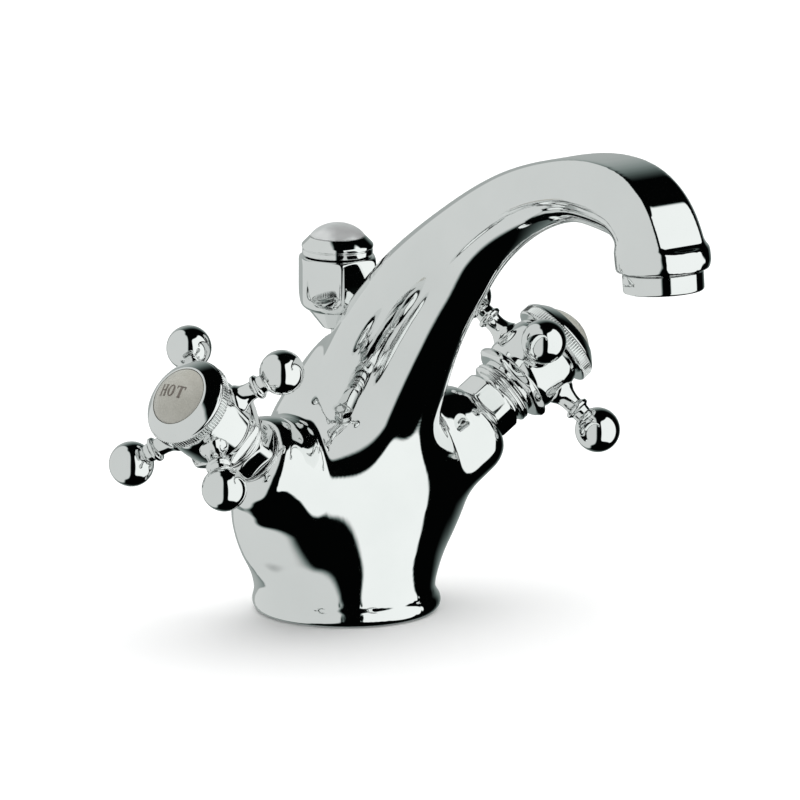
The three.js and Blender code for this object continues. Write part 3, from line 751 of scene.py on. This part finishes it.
def stroke(outline, to_disc):
    """A thin closed strip laid on the porcelain: outline is two equal rows of (x, y) points."""
    rows = []
    for row in outline:
        flat = np.array([to_disc(x, y) for x, y in row])
        height = disc_height(np.hypot(flat[:, 0], flat[:, 1])) + CROSS_PLANE
        rows.append(np.column_stack([flat, height + INK_LIFT]))
        rows.append(np.column_stack([flat, height - INK_SINK]))
    top_a, low_a, top_b, low_b = rows
    count = len(top_a)
    points = np.concatenate([top_a, top_b, low_b, low_a])
    faces = []
    for i in range(count - 1):
        for ring in range(4):
            a, b = ring * count + i, ((ring + 1) % 4) * count + i
            faces.append((a, a + 1, b + 1, b))
    for i in (0, count - 1):
        faces.append(tuple(ring * count + i for ring in range(4)))
    return points, faces


def lettering(word, width, centre):
    """The word in fired ink, read with the uphill direction up."""
    cell = width / len(word)
    turn = math.radians(WORD_TURN)

    def to_disc_from(start):
        def to_disc(x, y):
            right = start + x * cell - width / 2 + centre[0]
            up = (y - 0.5) * LETTER_HEIGHT + centre[1]
            turned_right = right * math.cos(turn) - up * math.sin(turn)
            turned_up = right * math.sin(turn) + up * math.cos(turn)
            return turned_up, -turned_right
        return to_disc

    parts = []
    for i, letter in enumerate(word):
        bars, bowls = LETTERS[letter]
        to_disc = to_disc_from(i * cell)
        for x0, y0, x1, y1 in bars:
            columns = max(1, round((x1 - x0) / 0.2))
            edges = np.linspace(x0, x1, columns + 1)
            ys = np.linspace(y0, y1, 12)
            for left, right in zip(edges, edges[1:]):
                parts.append(stroke([[(left, y) for y in ys], [(right, y) for y in ys]], to_disc))
        for x, y, rx, ry, sx, sy, first, last in bowls:
            turns = np.radians(np.linspace(first, last, 40))
            outer = [(x + rx * math.cos(a), y + ry * math.sin(a)) for a in turns]
            inner = [(x + (rx - sx) * math.cos(a), y + (ry - sy) * math.sin(a)) for a in turns]
            parts.append(stroke([outer, inner], to_disc))
    return joined(*parts)


def lift_knob():
    """Hexagon with rounded ends on a short cone."""
    base = KNOB_BASE_Z
    cone = filleted([
        (1.95, base, 0), (4.2, base, 0.3), (4.6, base + 0.5, 0.4), (8.6, base + 5.6, 0.3),
        (1.95, base + 5.6, 0),
    ])
    hexagon = filleted([
        (5.3, base + 5.2, 0), (8.4, base + 5.2, 0.5), (10.4, base + 6.6, 1.6),
        (KNOB_HEX_RADIUS, base + 9.8, 2.4), (KNOB_HEX_RADIUS, base + 19.4, 1),
        (11.4, base + 20.6, 0.8), (10.4, base + 21, 0.5), (5.3, base + 21, 0),
    ], 8)
    flats = hex_radius(KNOB_CORNER_RADIUS, sharpness=34, turn=math.pi / 2)
    part = joined(
        revolved(cone, closed=True),
        revolved(hexagon, FINE_SEGMENTS, closed=True, shape=flats),
    )
    return placed(part, Matrix.Translation((0, ROD_Y, 0)))


def lift_knob_cap():
    """Grooved band with a bevel, below the satin dome."""
    profile = filleted([
        (0, -5.4, 0), (4.95, -5.4, 0.3), (4.95, 0.3, 0.2), (9.6, 0.3, 0.2), (10.1, 0.6, 0.2),
        (10.1, 1.9, 0.2), (9.75, 2.05, 0.1), (9.75, 2.25, 0.1), (10.25, 2.45, 0.2), (10.25, 3.3, 0.4),
        (7.95, 5.65, 0.2), (7.75, 5.6, 0), (0, 5.6, 0),
    ], 4)
    return placed(revolved(profile), Matrix.Translation((0, ROD_Y, CAP_BASE_Z)))


def lift_knob_dome():
    """The satin top of the cap."""
    curve = natural_spline([(7.75, 5.9), (6.6, 7.1), (4.6, 8.35), (2.4, 9.1), (0.6, 9.35)], 20)
    profile = [(0, 5.65), (7.7, 5.65), *map(tuple, curve), (0, 9.37)]
    return placed(revolved(profile), Matrix.Translation((0, ROD_Y, CAP_BASE_Z)))


def lift_rod():
    top = KNOB_BASE_Z + 8.5
    profile = filleted([
        (0, 3, 0), (ROD_RADIUS, 3, 0.4), (ROD_RADIUS, top, 0.4), (0, top, 0),
    ])
    return placed(revolved(profile, 48), Matrix.Translation((0, ROD_Y, 0)))


def rod_guide():
    profile = filleted([
        (2.2, 57.3, 0), (4.0, 57.3, 0.3), (4.0, 76, 0.3), (2.2, 76, 0.2), (2.2, 60, 0),
    ])
    return placed(revolved(profile, 64, closed=True), Matrix.Translation((0, ROD_Y, 0)))


def outlet_housing():
    profile = filleted([
        (9.6, -6, 0.2), (11.1, -6, 0.3), (11.55, -5.5, 0.3), (11.55, -4.0, 0), (11.55, -2.4, 0),
        (11.55, -0.7, 0.1), (11.2, -0.4, 0.15), (10.4, -0.3, 0), (10.4, 3.6, 0.2), (9.2, 3.6, 0.2),
        (9.2, -4.2, 0.2), (9.6, -4.6, 0.1),
    ], 4)
    flats = key_flats(distance=10.8, turn=math.radians(170), top=-0.8)
    return placed(revolved(profile, FINE_SEGMENTS, closed=True, shape=flats), outlet_matrix())


def add_handle(label):
    """Bonnet, hub, arms, ring, disc and word on one valve axis."""
    body = f"{label}_handle"
    valve = valve_matrix(label)
    phase = math.radians(ARM_PHASE[label])

    def add_chrome(name, part, owner, node, crease=CREASE):
        nodes = [f"{label}_{node}"]
        add_piece(f"{label}_{name}", placed(part, valve), owner, CHROME, nodes, crease)

    add_chrome("bonnet_turned", bonnet(), "mixer", "bonnet")
    add_chrome("hub_turned", handle_hub(phase), body, "handle_hub")
    for i in range(4):
        arm = handle_arm(phase + i * math.pi / 2)
        add_chrome(f"arm_turned_{i + 1}", arm, body, f"handle_arm_{i + 1}")
    add_chrome("ring_knurled", index_ring(), body, "index_ring", crease=24)
    disc = placed(index_disc(), valve)
    add_piece(f"{label}_disc_glazed", disc, body, PORCELAIN, [f"{label}_index_disc"])
    text = placed(lettering(*WORDS[label]), valve)
    add_piece(f"{label}_disc_lettering", text, body, INK)


def add_pieces():
    add_piece("body_cast", cast_body(), "mixer", CHROME, ["mixer_body"], crease=60)
    add_piece("outlet_ring_turned", outlet_housing(), "mixer", CHROME, ["outlet_housing"])
    add_piece("rod_bush_turned", rod_guide(), "mixer", CHROME, ["rod_guide"])
    add_piece("knob_hexagon", lift_knob(), "waste_lift", CHROME, ["lift_knob"])
    add_piece("knob_cap_turned", lift_knob_cap(), "waste_lift", CHROME, ["lift_knob_cap"])
    add_piece("knob_cap_dome", lift_knob_dome(), "waste_lift", SATIN)
    add_piece("rod_polished", lift_rod(), "waste_lift", CHROME, ["lift_rod"])
    for label in WORDS:
        add_handle(label)


def dress_cad_nodes():
    """Gives every CAD node that stays visible its procedural material."""
    finishes = {
        "chrome": CHROME, "brass": BRASS, "steel": STEEL, "porcelain": PORCELAIN,
        "ceramic": CERAMIC, "rubber": RUBBER, "plastic": PLASTIC,
    }
    for entry in frame["record"]["subparts"]:
        mesh = frame["nodes"][entry["node"]].data
        mesh.materials.clear()
        mesh.materials.append(finishes[entry["material_slot"]])


# ---------------------------------------------------------------- studio

VIEW_AZIMUTH = math.radians(-127)  # direction from the object to the camera, from +X towards +Y
VIEW_ELEVATION = math.radians(13)
VIEW_DISTANCE = 10.0  # a long lens, almost parallel
VIEW_WIDTH = 0.2286  # width of the picture at the object
AIM_RIGHT, AIM_UP = 0.0153, 0.0593  # picture centre from the foot's centre
SENSOR = 36.0
FLOOR_REACH = 30.0


def towards(azimuth, elevation):
    flat = math.cos(elevation)
    return Vector((math.cos(azimuth) * flat, math.sin(azimuth) * flat, math.sin(elevation)))


def add_camera():
    back = towards(VIEW_AZIMUTH, VIEW_ELEVATION)
    rotation = back.to_track_quat("Z", "Y")
    right, up = rotation @ Vector((1, 0, 0)), rotation @ Vector((0, 1, 0))
    data = bpy.data.cameras.new("camera")
    data.sensor_width = SENSOR
    data.lens = SENSOR * VIEW_DISTANCE / VIEW_WIDTH
    data.clip_end = 10 * VIEW_DISTANCE
    camera = bpy.data.objects.new("camera", data)
    camera.rotation_mode = "QUATERNION"
    camera.rotation_quaternion = rotation
    camera.location = right * AIM_RIGHT + up * AIM_UP + back * VIEW_DISTANCE
    bpy.context.scene.collection.objects.link(camera)
    bpy.context.scene.camera = camera


# Light panels seen only in reflections, with rounded corners. Bearing of the middle from the
# camera to the right, half width, height of the middle and half height, all in degrees, then the
# corner's squareness, the share of the half size over which the edge fades, and the brightness.
PANELS = [
    (-79, 74, 3, 71, 4.5, 0.05, 0.68),
    (64, 43, 3, 52, 7.0, 0.04, 0.99),
    (196, 36, 0, 40, 2.0, 0.6, 0.42),
]
UNLIT = 0.001  # brightness between the panels
DIM_TINT, BRIGHT_TINT = (0.74, 1.0, 0.94, 1), (0.965, 1.0, 0.985, 1)
SURROUNDINGS = 0.28  # light from all round that falls on matt surfaces
OVERHEAD_TURN = math.radians(167)  # from the camera's bearing
OVERHEAD_HEIGHT = math.radians(75)
OVERHEAD_SPREAD = math.radians(100)
OVERHEAD_ENERGY = 3.3


def math_node(nodes, links, operation, first, second=None):
    node = nodes.new("ShaderNodeMath")
    node.operation = operation
    for socket, value in zip(node.inputs, (first, second)):
        if value is None:
            continue
        if isinstance(value, (int, float)):
            socket.default_value = value
        else:
            links.new(value, socket)
    return node.outputs[0]


def dot_node(nodes, links, vector, direction):
    node = nodes.new("ShaderNodeVectorMath")
    node.operation = "DOT_PRODUCT"
    node.inputs[1].default_value = direction
    links.new(vector, node.inputs[0])
    return node.outputs["Value"]


def panel_light(nodes, links, direction, panel):
    """Brightness of one panel: a rounded rectangle in bearing and height, with soft edges."""
    bearing, half_width, middle, half_height, square, fade, brightness = panel
    centre = VIEW_AZIMUTH + math.radians(bearing)
    ahead = dot_node(nodes, links, direction, (math.cos(centre), math.sin(centre), 0))
    aside = dot_node(nodes, links, direction, (-math.sin(centre), math.cos(centre), 0))
    turn = math_node(nodes, links, "ARCTAN2", aside, ahead)
    rise = math_node(nodes, links, "ARCSINE", dot_node(nodes, links, direction, (0, 0, 1)))
    rise = math_node(nodes, links, "SUBTRACT", rise, math.radians(middle))
    powers = []
    for angle, half in ((turn, half_width), (rise, half_height)):
        size = math_node(nodes, links, "ABSOLUTE", angle)
        share = math_node(nodes, links, "DIVIDE", size, math.radians(half))
        powers.append(math_node(nodes, links, "POWER", share, square))
    reach = math_node(nodes, links, "POWER", math_node(nodes, links, "ADD", *powers), 1 / square)
    mapping = nodes.new("ShaderNodeMapRange")
    mapping.interpolation_type = "SMOOTHSTEP"
    mapping.inputs["From Min"].default_value = 1 - fade
    mapping.inputs["From Max"].default_value = 1 + fade
    mapping.inputs["To Min"].default_value = brightness
    mapping.inputs["To Max"].default_value = 0.0
    links.new(reach, mapping.inputs["Value"])
    return mapping.outputs["Result"]


def add_world():
    """A white backdrop and pale surroundings. Reflections see the panels and dark gaps instead."""
    world = bpy.data.worlds.new("studio")
    world.use_nodes = True
    bpy.context.scene.world = world
    nodes, links = world.node_tree.nodes, world.node_tree.links
    nodes.clear()
    direction = nodes.new("ShaderNodeTexCoord").outputs["Generated"]
    total = UNLIT
    for panel in PANELS:
        total = math_node(nodes, links, "MAXIMUM", total, panel_light(nodes, links, direction, panel))
    mirrored = nodes.new("ShaderNodeBackground")
    colour = nodes.new("ShaderNodeMix")
    colour.data_type = "RGBA"
    colour.inputs["A"].default_value = DIM_TINT
    colour.inputs["B"].default_value = BRIGHT_TINT
    links.new(math_node(nodes, links, "MULTIPLY", total, 2.0), colour.inputs["Factor"])
    links.new(colour.outputs["Result"], mirrored.inputs["Color"])
    links.new(total, mirrored.inputs["Strength"])
    pale = nodes.new("ShaderNodeBackground")
    pale.inputs["Color"].default_value = (1, 1, 1, 1)
    seen = nodes.new("ShaderNodeLightPath").outputs
    strength = math_node(nodes, links, "MAXIMUM", seen["Is Camera Ray"], SURROUNDINGS)
    links.new(strength, pale.inputs["Strength"])
    choice = nodes.new("ShaderNodeMixShader")
    output = nodes.new("ShaderNodeOutputWorld")
    links.new(seen["Is Glossy Ray"], choice.inputs["Fac"])
    links.new(pale.outputs["Background"], choice.inputs[1])
    links.new(mirrored.outputs["Background"], choice.inputs[2])
    links.new(choice.outputs["Shader"], output.inputs["Surface"])


def add_floor():
    material, nodes, links, shader = node_material("pale_floor")
    paper = tint(nodes, links, noise(nodes, links, 3), (0.955, 0.958, 0.956), (0.965, 0.967, 0.966))
    links.new(paper, shader.inputs["Base Color"])
    shader.inputs["Roughness"].default_value = 0.9
    shader.inputs["Specular IOR Level"].default_value = 0.0
    mesh = bpy.data.meshes.new("floor")
    signs = ((-1, -1), (1, -1), (1, 1), (-1, 1))
    corners = [(x * FLOOR_REACH, y * FLOOR_REACH, 0) for x, y in signs]
    mesh.from_pydata(corners, [], [(0, 1, 2, 3)])
    mesh.materials.append(material)
    floor = bpy.data.objects.new("floor", mesh)
    floor.visible_glossy = False
    bpy.context.scene.collection.objects.link(floor)


def add_overhead_light():
    """One very soft light from above; chrome doesn't mirror it."""
    data = bpy.data.lights.new("overhead", "SUN")
    data.angle = OVERHEAD_SPREAD
    data.energy = OVERHEAD_ENERGY
    light = bpy.data.objects.new("overhead", data)
    light.rotation_mode = "QUATERNION"
    from_above = towards(VIEW_AZIMUTH + OVERHEAD_TURN, OVERHEAD_HEIGHT)
    light.rotation_quaternion = from_above.to_track_quat("Z", "Y")
    light.visible_glossy = False
    bpy.context.scene.collection.objects.link(light)


add_camera()
add_world()
add_overhead_light()
add_floor()
add_pieces()
dress_cad_nodes()
bpy.context.scene.view_settings.view_transform = "Standard"
